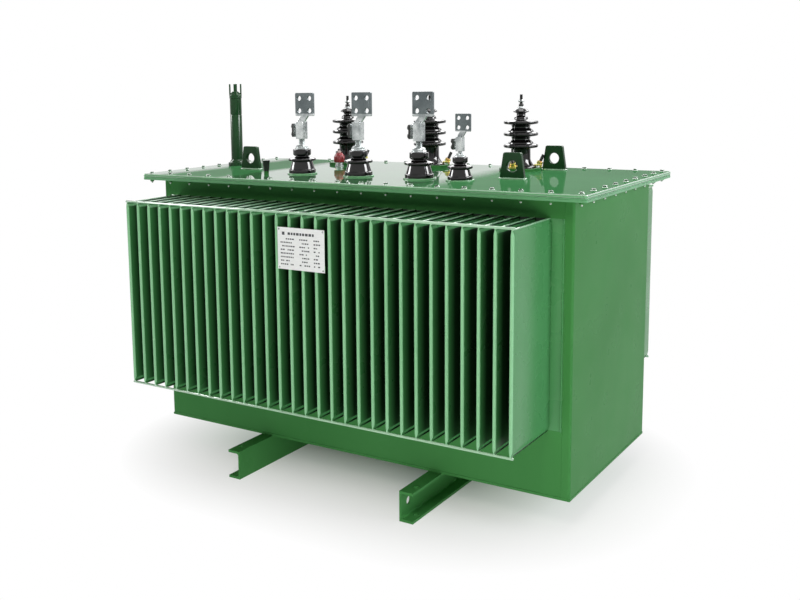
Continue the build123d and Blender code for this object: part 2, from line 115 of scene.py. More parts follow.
class Finish:
    """A material with its Principled shader and short calls for the patterns that feed it."""

    def __init__(self, name, colour, roughness, metallic=0.0, **constants):
        self.material = bpy.data.materials.new(name)
        self.material.use_nodes = True
        self.tree = self.material.node_tree
        self.shader = self.tree.nodes["Principled BSDF"]
        self.shader.inputs["Base Color"].default_value = colour
        self.shader.inputs["Roughness"].default_value = roughness
        self.shader.inputs["Metallic"].default_value = metallic
        self.fix(**constants)
        self.place = self.tree.nodes.new("ShaderNodeTexCoord").outputs["Object"]

    def fix(self, **constants):
        """Sets constant values on the shader's own sockets."""
        for socket, value in constants.items():
            self.shader.inputs[socket.replace("_", " ")].default_value = value

    def link(self, source, target):
        self.tree.links.new(source, target)

    def node(self, kind, **settings):
        made = self.tree.nodes.new(kind)
        for key, value in settings.items():
            setattr(made, key, value)
        return made

    def stretched(self, scale):
        """Object coordinates with each axis scaled, so that a pattern runs in streaks."""
        mapping = self.node("ShaderNodeMapping")
        mapping.inputs["Scale"].default_value = scale
        self.link(self.place, mapping.inputs["Vector"])
        return mapping.outputs["Vector"]

    def noise(self, scale, detail, place=None):
        made = self.node("ShaderNodeTexNoise")
        made.inputs["Scale"].default_value = scale
        made.inputs["Detail"].default_value = detail
        self.link(place or self.place, made.inputs["Vector"])
        return made.outputs["Fac"]

    def ramp(self, value, low, high, start=0.0, end=1.0):
        """Maps a pattern between two levels onto start to end, clamped."""
        made = self.node("ShaderNodeMapRange")
        for socket, number in (("From Min", low), ("From Max", high), ("To Min", start), ("To Max", end)):
            made.inputs[socket].default_value = number
        self.link(value, made.inputs["Value"])
        return made.outputs["Result"]

    def axis(self, letter):
        """The place along one axis of the frame."""
        split = self.node("ShaderNodeSeparateXYZ")
        self.link(self.place, split.inputs["Vector"])
        return split.outputs[letter]

    def math(self, operation, *values):
        """A sum on patterns; each value is a number or an output."""
        made = self.node("ShaderNodeMath", operation=operation)
        for socket, value in zip(made.inputs, values):
            if isinstance(value, float):
                socket.default_value = value
            else:
                self.link(value, socket)
        return made.outputs[0]

    def mix(self, factor, first, second):
        """A colour mix; each colour is a tuple or an output."""
        made = self.node("ShaderNodeMix", data_type="RGBA")
        self.link(factor, made.inputs["Factor"])
        for socket, colour in ((made.inputs[6], first), (made.inputs[7], second)):
            if isinstance(colour, tuple):
                socket.default_value = colour
            else:
                self.link(colour, socket)
        return made.outputs[2]

    def bump(self, height, distance, strength):
        made = self.node("ShaderNodeBump")
        made.inputs["Distance"].default_value = distance
        made.inputs["Strength"].default_value = strength
        self.link(height, made.inputs["Height"])
        return made.outputs["Normal"]

    def feed(self, socket, source):
        self.link(source, self.shader.inputs[socket])

    def fed(self, socket):
        return self.shader.inputs[socket].links[0].from_socket


materials = {}


def finish(name, colour, roughness, **constants):
    made = Finish(name, colour, roughness, **constants)
    materials[name] = made.material
    return made


print("shader helpers:", [name for name in vars(Finish) if not name.startswith("_")])

# %% [markdown]
# ## Green enamels
# Sprayed enamel is never even: the gun leaves an orange-peel skin, its own passes and a slow change of
# depth, and some dust settles while it is wet. One function holds that recipe, and a table the greens. The
# paler ones are painted light: painted highlights on arrises, welds, rods, fin noses and pads, and a paler
# green on the cover's edge band, where light falls on them. The darker ones are painted shade, on the lugs
# and the filler pipe and between the fins.

# %% Greens of the tank, the fins and the fittings
PAINT_WORN = srgb(96, 152, 106)
# Light and deep colour, smoothest and roughest gloss, specular level, and the size of the gloss patches.
ENAMELS = {
    "tank_paint": ((69, 134, 73), (63, 127, 67), (0.26, 0.36), 0.03, 9.0),
    # Darker green: painted shade on the lugs, the filler pipe and its cap.
    "shaded_fitting_paint": ((30, 72, 38), (24, 62, 33), (0.16, 0.26), 0.2, 9.0),
    # Paler green: painted light on the cover's edge band and sides, the rim and the gasket.
    "lit_edge_paint": ((104, 166, 118), (96, 158, 110), (0.24, 0.36), 0.2, 9.0),
    # Painted highlight on the fin noses and the low-voltage pads.
    "nose_highlight_paint": ((134, 194, 146), (122, 184, 134), (0.2, 0.3), 0.5, 9.0),
    # Painted highlight on arrises, tie rods and weld beads.
    "arris_highlight_paint": ((150, 192, 158), (134, 180, 144), (0.16, 0.28), 0.5, 60.0),
    "fin_paint": ((74, 142, 86), (68, 134, 79), (0.22, 0.32), 0.3, 9.0),
    # Painted shade between the fins, darkened further towards the wall below.
    "fin_gap_shade_paint": ((66, 132, 76), (60, 124, 70), (0.26, 0.36), 0.15, 9.0),
    "cover_paint": ((74, 142, 88), (68, 134, 82), (0.05, 0.5), 0.0, 9.0),
}


def enamel(name, light, deep, gloss, specular, gloss_scale):
    light, deep = srgb(*light), srgb(*deep)
    made = finish(name, light, gloss[1], Specular_IOR_Level=specular)
    patches = made.ramp(made.noise(2.6, 2.0), 0.35, 0.65)
    passes = made.ramp(made.noise(7.0, 1.0, place=made.stretched((1.0, 1.0, 0.12))), 0.3, 0.7, 0.0, 0.5)
    speckle = made.ramp(made.noise(1400.0, 1.0), 0.68, 0.8, 0.0, 0.4)
    coloured = made.mix(passes, made.mix(patches, deep, light), light)
    made.feed("Base Color", made.mix(speckle, coloured, PAINT_WORN))
    made.feed("Roughness", made.ramp(made.noise(gloss_scale, 3.0), 0.3, 0.7, *gloss))
    made.feed("Normal", made.bump(made.noise(300.0, 2.0), 0.0002, 0.22))
    return made


greens = {name: enamel(name, *row) for name, row in ENAMELS.items()}
greens["arris_highlight_paint"].fix(Coat_Weight=1.0, Coat_Roughness=0.08)
print("enamels:", sorted(greens))

# %% [markdown]
# Two greens change from place to place. Between the fins the paint darkens towards the wall: painted
# shade for the deep gaps. The cover is flat and seen at a flat angle, so its gloss shows most: it is a mirror
# where it was wiped, and duller at the right and in a patch at the left, with ragged edges.

# %% Painted shade in the gaps and a wiped cover
GAP_DARK, GAP_LIGHT = 0.585, 0.632
gap = greens["fin_gap_shade_paint"]
# Painted shade: the fin paint darkens towards the wall, deep between the fins.
lit_share = gap.ramp(gap.math("ABSOLUTE", gap.axis("Y")), GAP_DARK, GAP_LIGHT)
gap.feed("Base Color", gap.mix(lit_share, srgb(16, 40, 20), gap.fed("Base Color")))

DULL_RIGHT_FROM, DULL_LEFT_FROM, DULL_LEFT_TO = (0.30, 0.42), (-0.74, -0.66), (-0.46, -0.38)
cover = greens["cover_paint"]
cover.fix(Coat_Roughness=0.03)
ragged = cover.math("MULTIPLY_ADD", cover.noise(5.0, 3.0), 0.10, cover.axis("X"))
left_starts, left_ends = cover.ramp(ragged, *DULL_LEFT_FROM), cover.ramp(ragged, *DULL_LEFT_TO, 1.0, 0.0)
left_patch = cover.math("MULTIPLY", left_ends, left_starts)
dull = cover.math("MAXIMUM", cover.ramp(ragged, *DULL_RIGHT_FROM), left_patch)
cover.feed("Roughness", cover.ramp(dull, 0.0, 1.0, 0.05, 0.5))
cover.feed("Coat Weight", cover.ramp(dull, 0.0, 1.0, 1.0, 0.2))
print("cover duller right of", DULL_RIGHT_FROM)

# %% [markdown]
# ## Porcelain, metals, rubber and plastics
# The other finishes share a second recipe: a tone that wanders between two colours, patchy gloss and a
# fine skin. A row of the table leaves out what its finish doesn't have.

# %% Table of the other finishes
# One or two colours; scale, detail and band of the tone; scale, detail, smoothest and roughest gloss, or
# one roughness; scale, depth and strength of the skin.
FINISHES = {
    "porcelain": (((6, 6, 7), (16, 12, 12)), (14, 2, 0.35, 0.7), (40, 2, 0.05, 0.1), (60, 0.0002, 0.12)),
    "tinned_metal": (
        ((84, 92, 95), (104, 112, 115)), (24, 3, 0.35, 0.68), (90, 3, 0.3, 0.42), (420, 0.0001, 0.18)
    ),
    "tinned_casting": (
        ((140, 146, 147), (205, 209, 209)), (34, 3, 0.35, 0.68), (120, 3, 0.22, 0.38), (320, 0.00015, 0.25)
    ),
    "zinc_steel": (((122, 126, 126), (190, 194, 193)), (160, 3, 0.35, 0.7), (420, 2, 0.28, 0.5)),
    "gasket_rubber": (((34, 36, 34),), None, 0.75, (500, 0.0003, 0.4)),
    "red_cap": (((134, 16, 28), (172, 34, 44)), (60, 3, 0.35, 0.7), 0.38, (800, 0.0001, 0.3)),
    "black_plastic": (((26, 28, 28),), None, 0.42, (900, 0.0001, 0.4)),
    "plate_ink": (((58, 62, 66),), None, (300, 2, 0.4, 0.6)),
    # Bolt heads: painted green, darker than the tank; the darker part is painted shade on their sides.
    "bolt_paint_and_shade": (((42, 76, 48), (66, 112, 76)), (180, 3, 0.35, 0.7), (500, 2, 0.16, 0.3)),
    "washer_zinc": (((176, 190, 178), (226, 232, 226)), (260, 3, 0.35, 0.7), (500, 2, 0.2, 0.34)),
    "dark_steel": (((34, 35, 34),), None, (400, 2, 0.34, 0.52)),
    "yellow_zinc": (((204, 186, 92), (176, 178, 98)), (130, 2, 0.3, 0.7), (420, 2, 0.24, 0.42)),
    "pink_button": (((226, 190, 190),), None, (300, 2, 0.32, 0.5)),
}
METALLIC = {
    "tinned_metal": 0.5, "tinned_casting": 0.8, "zinc_steel": 1.0, "washer_zinc": 0.8, "dark_steel": 0.3,
    "yellow_zinc": 0.9,
}
print("finishes in the table:", len(FINISHES))

# %% [markdown]
# Two finishes need more than a row. The passivated zinc blushes here and there, and the nameplate is
# brushed along its length.

# %% Make the other finishes
def worked(name, tones, spread, gloss, skin=None):
    made = finish(name, srgb(*tones[0]), 0.5, metallic=METALLIC.get(name, 0.0))
    if spread:
        scale, detail, low, high = spread
        tone = made.ramp(made.noise(scale, detail), low, high)
        made.feed("Base Color", made.mix(tone, srgb(*tones[0]), srgb(*tones[1])))
    if isinstance(gloss, float):
        made.fix(Roughness=gloss)
    else:
        scale, detail, smooth, rough = gloss
        made.feed("Roughness", made.ramp(made.noise(scale, detail), 0.3, 0.7, smooth, rough))
    if skin:
        scale, depth, strength = skin
        made.feed("Normal", made.bump(made.noise(scale, 2.0), depth, strength))
    return made


others = {name: worked(name, *row) for name, row in FINISHES.items()}
others["porcelain"].fix(Specular_IOR_Level=0.45)
others["bolt_paint_and_shade"].fix(Specular_IOR_Level=0.6, Coat_Weight=1.0, Coat_Roughness=0.08)

gold = others["yellow_zinc"]
blush = gold.ramp(gold.noise(70.0, 1.0), 0.5, 0.75)
gold.feed("Base Color", gold.mix(blush, gold.fed("Base Color"), srgb(214, 128, 100)))

plate = finish("plate_metal", srgb(216, 218, 220), 0.36, metallic=0.25)
grain = plate.noise(60.0, 2.0, place=plate.stretched((1.0, 1.0, 30.0)))
plate.feed("Base Color", plate.mix(plate.ramp(grain, 0.3, 0.7), srgb(216, 218, 220), srgb(236, 238, 238)))
plate.feed("Roughness", plate.ramp(grain, 0.3, 0.7, 0.3, 0.42))
print("materials:", len(materials))

# %% [markdown]
# ## Dressing the frame
# Each solid has a slot name in its record, and the material of that name goes on it. A new piece takes a
# material too.

# %% Put a finish on every solid
BODY = "root"
slot_of = {part["node"]: part["material_slot"] for part in frame["record"]["subparts"]}


def dress(piece, material_name):
    piece.data.materials.clear()
    piece.data.materials.append(materials[material_name])


for name, piece in nodes.items():
    dress(piece, slot_of[name])
print("dressed", len(nodes), "solids")

# %% [markdown]
# ## Tools of the bench
# Most things on a transformer are turned, sawn from bar or folded from plate. So there are four helpers:
# one spins an outline, one makes a hexagon bar, one copies a finished shape to many places, and one takes
# a solid of the frame and eases its sharp edges. A real plate always has a small radius at its edge, and
# that radius is what catches the light.

# %% Helpers that shape a mesh
MERGE = 1e-6
FULL_TURN = 2 * math.pi


def bevel(mesh, geom, width, segments, affect="EDGES", **options):
    """Every rounding has the same profile."""
    bmesh.ops.bevel(
        mesh, geom=geom, affect=affect, offset=width, segments=segments, profile=0.5, material=-1, **options
    )


def turned(profile, steps=32, rounding=()):
    """A solid of revolution about Z from (radius, height) points; chosen corners are rounded."""
    shape = bmesh.new()
    corners = [shape.verts.new((radius, 0, height)) for radius, height in profile]
    for pair in zip(corners, corners[1:]):
        shape.edges.new(pair)
    for index, radius in rounding:
        bevel(shape, [corners[index]], radius, 3, affect="VERTICES")
    chain = shape.verts[:] + shape.edges[:]
    bmesh.ops.spin(shape, geom=chain, axis=(0, 0, 1), angle=FULL_TURN, steps=steps, use_merge=True)
    bmesh.ops.remove_doubles(shape, verts=shape.verts, dist=MERGE)
    return shape


def hexagon(across_flats, height, ease=0.0006):
    """A hexagon bar that stands on the origin, with its ends eased."""
    shape = bmesh.new()
    radius = across_flats / math.sqrt(3)
    bmesh.ops.create_cone(
        shape, cap_ends=True, segments=6, radius1=radius, radius2=radius, depth=height,
        matrix=Matrix.Translation((0, 0, height / 2)),
    )
    bevel(shape, shape.edges[:], ease, 1)
    return shape


def block(size, centre, ease, segments=2):
    """A rectangular block with eased edges."""
    shape = bmesh.new()
    bmesh.ops.create_cube(shape, size=1.0, matrix=Matrix.Translation(centre) @ Matrix.Diagonal((*size, 1)))
    bevel(shape, shape.edges[:], ease, segments)
    return shape


def put(mesh, shape, place=Matrix()):
    """Adds a copy of a finished shape to a mesh, in its place."""
    copy = bpy.data.meshes.new("copy")
    shape.to_mesh(copy)
    copy.transform(place)
    mesh.from_mesh(copy)
    bpy.data.meshes.remove(copy)


def at(x, y, z):
    return Matrix.Translation((x, y, z))


def along(start, end):
    """Turns +Z to run from start to end, and moves the origin to start."""
    towards = Vector(end) - Vector(start)
    return Matrix.Translation(start) @ towards.to_track_quat("Z", "Y").to_matrix().to_4x4()


def eased(node, width, segments=2, sharp=30):
    """A merged copy of a solid of the frame, with its sharp edges eased."""
    mesh = bmesh.new()
    mesh.from_mesh(nodes[node].data)
    bmesh.ops.remove_doubles(mesh, verts=mesh.verts, dist=10 * MERGE)
    bmesh.ops.dissolve_limit(mesh, angle_limit=math.radians(0.5), verts=mesh.verts, edges=mesh.edges)
    least = math.radians(sharp)
    corners = [edge for edge in mesh.edges if edge.is_manifold and edge.calc_face_angle() > least]
    bevel(mesh, corners, width, segments, clamp_overlap=True)
    return mesh


def add_piece(mesh, name, material_name, slot, replaced=(), smooth=35):
    """Makes a mesh an object of the model: it rides on the body and stands for the solids it replaces."""
    bmesh.ops.recalc_face_normals(mesh, faces=mesh.faces)
    data = bpy.data.meshes.new(name)
    mesh.to_mesh(data)
    mesh.free()
    data.shade_smooth()
    data.set_sharp_from_angle(angle=math.radians(smooth))
    piece = bpy.data.objects.new(name, data)
    scene.collection.objects.link(piece)
    dress(piece, material_name)
    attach(piece, BODY)
    if replaced:
        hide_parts(*replaced)
    return piece


def assembled(name, parts, *finish_and_slot, **options):
    """A piece made of finished shapes, each in its own place."""
    mesh = bmesh.new()
    for shape, place in parts:
        put(mesh, shape, place)
    return add_piece(mesh, name, *finish_and_slot, **options)


FLAT_AREA = 0.0004


def keep_flats(piece):
    """Large flat faces keep their own direction, so that the eased edges don't bend their shine."""
    for face in piece.data.polygons:
        if face.area > FLAT_AREA:
            face.use_smooth = False
    return piece


def faces_of(pieces):
    return sum(len(piece.data.polygons) for piece in pieces)


print("a hexagon nut has", len(hexagon(0.013, 0.005).faces), "faces")

# %% [markdown]
# ## Plates of the tank
# The plates keep the frame's exact shape. Only their edges are eased, by 1 to 2 mm as a grinder leaves
# them.

# %% Ease the plates
LUGS = ("lifting_lug_left", "lifting_lug_right_front", "lifting_lug_right_back")
PLATE_EASE = {
    "skid_left": 0.0012, "skid_right": 0.0012, "base_plate": 0.0010,
    "left_end_wall": 0.0008, "right_end_wall": 0.0008,
    "front_apron": 0.0004, "back_apron": 0.0004, "front_top_band": 0.0004, "back_top_band": 0.0004,
    "tank_rim": 0.0014, "cover_plate": 0.0030, "cover_gasket": 0.0008,
    "lifting_lug_left": 0.0016, "lifting_lug_right_front": 0.0016, "lifting_lug_right_back": 0.0016,
    "nameplate": 0.0004, "nameplate_straps": 0.0006,
}
# The cover's edges, the rim and the gasket take a paler green that is painted light.
OWN_FINISH = {"cover_plate": "cover_paint", "cover_gasket": "lit_edge_paint", "tank_rim": "lit_edge_paint"}
# The lugs take the darker green that is painted shade.
OWN_FINISH |= {lug: "shaded_fitting_paint" for lug in LUGS}
GASKET_BULGE = 0.0045
STEEP = math.cos(math.radians(80))
NEARLY_LEVEL = 1 - STEEP / 10


def plate_mesh(node, width):
    """The gasket is squeezed out nearly flush with the plates and painted over with them."""
    mesh = eased(node, width)
    if node == "cover_gasket":
        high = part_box(node)[1]
        swell = ((high.x + GASKET_BULGE) / high.x, (high.y + GASKET_BULGE) / high.y, 1.0)
        bmesh.ops.scale(mesh, vec=swell, verts=mesh.verts)
    return mesh


plates = []
for node, width in PLATE_EASE.items():
    slot = slot_of[node]
    plates.append(
        add_piece(plate_mesh(node, width), f"{node}_plate", OWN_FINISH.get(node, slot), slot, (node,))
    )


def mark_arrises(piece, side_material):
    """Gives the rounded arrises a painted highlight and the upright sides of a plate a paler green that is
    painted light.
    """
    piece.data.materials.append(materials["arris_highlight_paint"])
    piece.data.materials.append(materials[side_material])
    for face in piece.data.polygons:
        rise = abs(face.normal.z)
        if rise < STEEP:
            face.material_index = 2
        elif rise < NEARLY_LEVEL:
            face.material_index = 1


for piece in plates:
    keep_flats(piece)
cover_piece = next(piece for piece in plates if piece.name == "cover_plate_plate")
mark_arrises(cover_piece, "lit_edge_paint")
print("eased plates:", len(plates), "faces:", faces_of(plates))

# %% [markdown]
# ## Corrugated walls
# The cooling wall is one sheet folded into deep flat fins. Each fin is an oil pocket: its sides stand
# apart all the way to a round nose, and at the top and bottom the two sides are pressed together and
# welded. A fin is modelled as a stack of rings. One ring is a circle whose back half is drawn out into
# the two flat sides, and the rings are bridged.

# %% One fin
front_low, front_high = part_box("front_corrugated_wall")
apron_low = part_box("front_apron")[0]
WALL_Y = apron_low.y
FIN_DEPTH = WALL_Y - front_low.y
FIN_BOTTOM = front_low.z
FIN_HEIGHT = front_high.z - front_low.z
FIN_PITCH = 0.050
FIN_COUNT = 30
FIN_THICK = 0.011
FIN_PRESSED = 0.004
FIN_CORNER = 0.005
FIN_ROOT = 0.001
NOSE_SIDES = 20
# Height above the end of the fin, and how far the fin has swelled there from pressed to full.
PRESS_STEPS = ((0, 0), (0.0012, 0), (0.003, 0), (0.005, 0.04), (0.009, 0.42), (0.013, 0.8), (0.019, 1))


def corner_setback(level):
    """How far the nose stands back at a level below the rounded corner."""
    drop = max(FIN_CORNER - level, 0.0)
    return FIN_CORNER - math.sqrt(FIN_CORNER**2 - drop**2)


def fin_ring(mesh, level, swell, setback):
    """One ring of the fin: a round nose at the front and flat sides that run back to the wall."""
    half = (FIN_PRESSED + (FIN_THICK - FIN_PRESSED) * swell) / 2
    ring = bmesh.ops.create_circle(mesh, segments=NOSE_SIDES, radius=half)["verts"]
    centre = FIN_DEPTH - setback - half
    flat = centre + FIN_ROOT
    per_side = NOSE_SIDES // 4
    for vert in ring:
        if vert.co.y > -MERGE:
            vert.co.y += centre
            continue
        turn = math.asin(min(-vert.co.y / half, 1.0)) / (math.pi / 2)
        share = min(turn * per_side / (per_side - 1), 1.0)
        vert.co.y = centre - flat * share
        if turn < 1 - MERGE:
            vert.co.x = math.copysign(half, vert.co.x)
    bmesh.ops.translate(mesh, verts=ring, vec=(0, 0, level))
    return list({edge for vert in ring for edge in vert.link_edges})


def fin_shape():
    """A fin that stands on its lower end with its root on y = 0 and its nose towards +Y."""
    mesh = bmesh.new()
    lower = [(level, swell, corner_setback(level)) for level, swell in PRESS_STEPS]
    upper = [(FIN_HEIGHT - level, swell, setback) for level, swell, setback in reversed(lower)]
    rings = [fin_ring(mesh, *step) for step in lower + upper]
    for below, above in zip(rings, rings[1:]):
        bmesh.ops.bridge_loops(mesh, edges=below + above)
    for end in (rings[0], rings[-1]):
        bmesh.ops.contextual_create(mesh, geom=end)
    return mesh


one_fin = fin_shape()
print("one fin:", len(one_fin.faces), "faces")

# %% [markdown]
# The wall's sheet carries thirty fins, each a hair's breadth out of square as the welder left it. The
# faces get three greens: noses with a painted highlight, plain outer sides, and painted shade that
# darkens the paint between the fins.

# %% Both corrugated walls
SHEET = 0.002
LIP_WIDTH = 0.005
LIP_DEPTH = 0.006
NOSE_SHARE = 0.45
LEAN_DEGREES = 0.06
panel_half = front_high.x
random.seed(7)


def wall_matrix(side):
    """Puts a shape drawn on the +Y side on the wall of that side."""
    return Matrix.Identity(4) if side > 0 else Matrix.Rotation(math.pi, 4, "Z")


def fin_places():
    first = -FIN_PITCH * (FIN_COUNT - 1) / 2
    return [first + FIN_PITCH * index for index in range(FIN_COUNT)]


def corrugated_wall(side_name, side):
    mesh = bmesh.new()
    turn = wall_matrix(side)
    middle = FIN_BOTTOM + FIN_HEIGHT / 2
    sheet = block((2 * panel_half, SHEET, FIN_HEIGHT), (0, -WALL_Y - SHEET / 2, middle), 0.0004, 1)
    last_fin = FIN_PITCH * (FIN_COUNT - 1) / 2
    for cut in (-last_fin, last_fin):
        whole = sheet.verts[:] + sheet.edges[:] + sheet.faces[:]
        bmesh.ops.bisect_plane(sheet, geom=whole, plane_co=(cut, 0, 0), plane_no=(1, 0, 0))
    put(mesh, sheet, turn)
    lip_size = (LIP_WIDTH, LIP_DEPTH, FIN_HEIGHT)
    for end in (-1, 1):
        lip_x = end * (panel_half - LIP_WIDTH / 2)
        put(mesh, block(lip_size, (lip_x, -WALL_Y + LIP_DEPTH / 2, middle), 0.0018), turn)
    for x in fin_places():
        lean = Matrix.Rotation(math.radians(random.uniform(-LEAN_DEGREES, LEAN_DEGREES)), 4, "Z")
        put(mesh, one_fin, turn @ at(x, -WALL_Y, FIN_BOTTOM) @ lean)
    node = f"{side_name}_corrugated_wall"
    piece = add_piece(mesh, f"{side_name}_fins", "fin_paint", "fin_paint", (node,), smooth=50)
    piece.data.materials.append(materials["nose_highlight_paint"])
    piece.data.materials.append(materials["fin_gap_shade_paint"])
    # Noses take the painted highlight, and the sides between the end fins the painted shade.
    nose_from = -WALL_Y + FIN_DEPTH - FIN_THICK * NOSE_SHARE
    for face in piece.data.polygons:
        if abs(face.center.y) > nose_from:
            face.material_index = 1
        elif abs(face.center.x) < last_fin and abs(face.normal.z) < STEEP:
            face.material_index = 2
    return piece


fin_walls = [corrugated_wall("front", -1), corrugated_wall("back", 1)]
print("corrugated walls:", faces_of(fin_walls), "faces")

# %% [markdown]
# ## Welds
# A weld bead is a row of overlapping drops. Here a bead is a thin bar that swells and narrows along its
# length, with a little unevenness, half sunk in the joint that it closes.

# %% Beads and the tie rods
BEAD_STEP = 0.006


def bead_shape(length, radius, sides=8, unevenness=0.10, step=BEAD_STEP):
    """A rippled bar from the origin up to its length, with closed round ends."""
    count = max(int(length / step), 2)
    profile = [(0.0, 0.0), (radius * 0.7, radius * 0.25)]
    for index in range(1, count):
        swell = 1 + random.uniform(-unevenness, unevenness)
        profile.append((radius * swell, length * index / count))
    profile += [(radius * 0.7, length - radius * 0.25), (0.0, length)]
    return turned(profile, steps=sides)


def bead(mesh, start, end, radius, **options):
    length = (Vector(end) - Vector(start)).length
    put(mesh, bead_shape(length, radius, **options), along(start, end))


END_BEAD = 0.0030


def fin_end_beads(side_name, side):
    """The closing weld along the pressed ends of every fin; the upper ones carry a painted highlight and the
    lower ones the painted shade of the fins.
    """
    upper, lower = bmesh.new(), bmesh.new()
    turn = wall_matrix(side)
    length = FIN_DEPTH - FIN_CORNER
    shapes = [bead_shape(length, END_BEAD, sides=6, unevenness=0.06, step=0.018) for _ in range(4)]
    for index, x in enumerate(fin_places()):
        for mesh, level in ((lower, FIN_BOTTOM), (upper, FIN_BOTTOM + FIN_HEIGHT)):
            start = Vector((x, -WALL_Y, level))
            end = start + Vector((0, FIN_DEPTH, 0))
            put(mesh, shapes[index % 4], turn @ along(start, end))
    return [
        add_piece(upper, f"{side_name}_upper_fin_welds", "arris_highlight_paint", "fin_paint", smooth=60),
        add_piece(lower, f"{side_name}_lower_fin_welds", "fin_gap_shade_paint", "fin_paint", smooth=60),
    ]


ROD = 0.004
ROD_SETBACK = 0.006


def tie_rods(side_name, side):
    """The two rods across the outer corners of the fins, with a tack weld on each fin."""
    mesh = bmesh.new()
    turn = wall_matrix(side)
    low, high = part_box(f"{side_name}_tie_rods")
    y = -WALL_Y + FIN_DEPTH - ROD_SETBACK
    ease = ROD * 0.3
    length = high.x - low.x
    half_bar = [(0, 0), (ROD - ease, 0), (ROD, ease), (ROD, length - ease), (ROD - ease, length), (0, length)]
    bar = turned(half_bar, 16)
    tack = turned([(0, 0), (ROD * 0.9, 0.001), (ROD * 1.05, 0.004), (ROD * 0.9, 0.007), (0, 0.008)], 8)
    for level, inwards in ((low.z + ROD, 1), (high.z - ROD, -1)):
        put(mesh, bar, turn @ along((low.x, y, level), (high.x, y, level)))
        for x in fin_places():
            spot = Vector((x - ROD, y, level + inwards * ROD * 0.55))
            put(mesh, tack, turn @ along(spot, spot + Vector((1, 0, 0))))
    node = f"{side_name}_tie_rods"
    # The rods are dressed in the pale green that is a painted highlight.
    return [add_piece(mesh, f"{side_name}_rods", "arris_highlight_paint", "fin_paint", (node,), smooth=60)]


rod_pieces = []
for side_name, side in (("front", -1), ("back", 1)):
    rod_pieces += fin_end_beads(side_name, side) + tie_rods(side_name, side)
print("fin welds and rods:", faces_of(rod_pieces), "faces")

# %% [markdown]
# The plates of the tank are joined by longer beads: under the rim, round the base plate, and down both
# edges of each corrugated sheet.

# %% Seam welds of the tank
tank_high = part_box("base_plate")[1]
cover_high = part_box("cover_plate")[1]
COVER_TOP = cover_high.z
WALL_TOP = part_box("tank_rim")[0].z
APRON_BOTTOM = apron_low.z
SEAM = 0.0032
SEAM_END = 0.008
SEAM_BELOW_FINS = 0.012


def tank_seams():
    mesh = bmesh.new()
    x, y = tank_high.x, tank_high.y
    fin_top = FIN_BOTTOM + FIN_HEIGHT
    for z, radius in ((WALL_TOP, SEAM), (APRON_BOTTOM, SEAM * 0.7)):
        inset = radius * 0.35
        reach_x, reach_y = x - SEAM_END, y - SEAM_END
        for side in (-1, 1):
            seam_y = side * (y - inset)
            bead(mesh, (side * reach_x, seam_y, z), (-side * reach_x, seam_y, z), radius)
        for end in (-1, 1):
            seam_x = end * (x - inset)
            bead(mesh, (seam_x, -reach_y, z), (seam_x, reach_y, z), radius)
    for end in (-1, 1):
        for side in (-1, 1):
            seam_x = end * (panel_half + 0.001)
            seam_y = side * (y - SEAM * 0.2)
            foot = (seam_x, seam_y, FIN_BOTTOM - SEAM_BELOW_FINS)
            bead(mesh, foot, (seam_x, seam_y, fin_top), SEAM * 0.8)
    return add_piece(mesh, "tank_seam_welds", "tank_paint", "tank_paint", smooth=60)


seams = tank_seams()
print("tank seams:", faces_of([seams]), "faces")

# %% [markdown]
# ## Cover bolts
# The cover is drawn down on its gasket by a row of bolts just inside its edge. Each has a hexagon head
# and a washer above, and below the rim a washer, a nut and the end of the thread. One bolt is modelled
# and then copied round the frame; each copy is turned by its own angle, as a spanner leaves it.

# %% Bolts round the cover
BOLT_INSET = 0.024
BOLTS_ALONG = 19
BOLTS_ACROSS = 9
BOLT_FLATS = 0.013
BOLT_HEAD = 0.0048
BOLT_SHANK = 0.004
WASHER = 0.009
WASHER_THICK = 0.0018


def threaded_end(radius, length, pitch=0.0015, steps=12):
    """The end of a thread: a bar whose radius steps in and out with the pitch, and a chamfered tip."""
    depth = pitch * 0.45
    profile = [(0.0, 0.0), (radius, 0.0)]
    for index in range(int(length / pitch) - 1):
        level = pitch * (index + 0.5)
        profile += [(radius, level), (radius - depth, level + pitch / 2)]
    profile += [(radius - depth, length), (0.0, length)]
    return turned(profile, steps=steps)


def washer_shape(radius, thickness, steps=20):
    ease = thickness * 0.25
    return turned(
        [(0, 0), (radius, 0), (radius, thickness - ease), (radius - ease, thickness), (0, thickness)], steps
    )


def bolt_places():
    x = cover_high.x - BOLT_INSET
    y = cover_high.y - BOLT_INSET
    along_x = [-x + 2 * x * index / (BOLTS_ALONG - 1) for index in range(BOLTS_ALONG)]
    across_y = [-y + 2 * y * index / (BOLTS_ACROSS - 1) for index in range(1, BOLTS_ACROSS - 1)]
    rows = [(place, side * y) for side in (-1, 1) for place in along_x]
    return rows + [(side * x, place) for side in (-1, 1) for place in across_y]


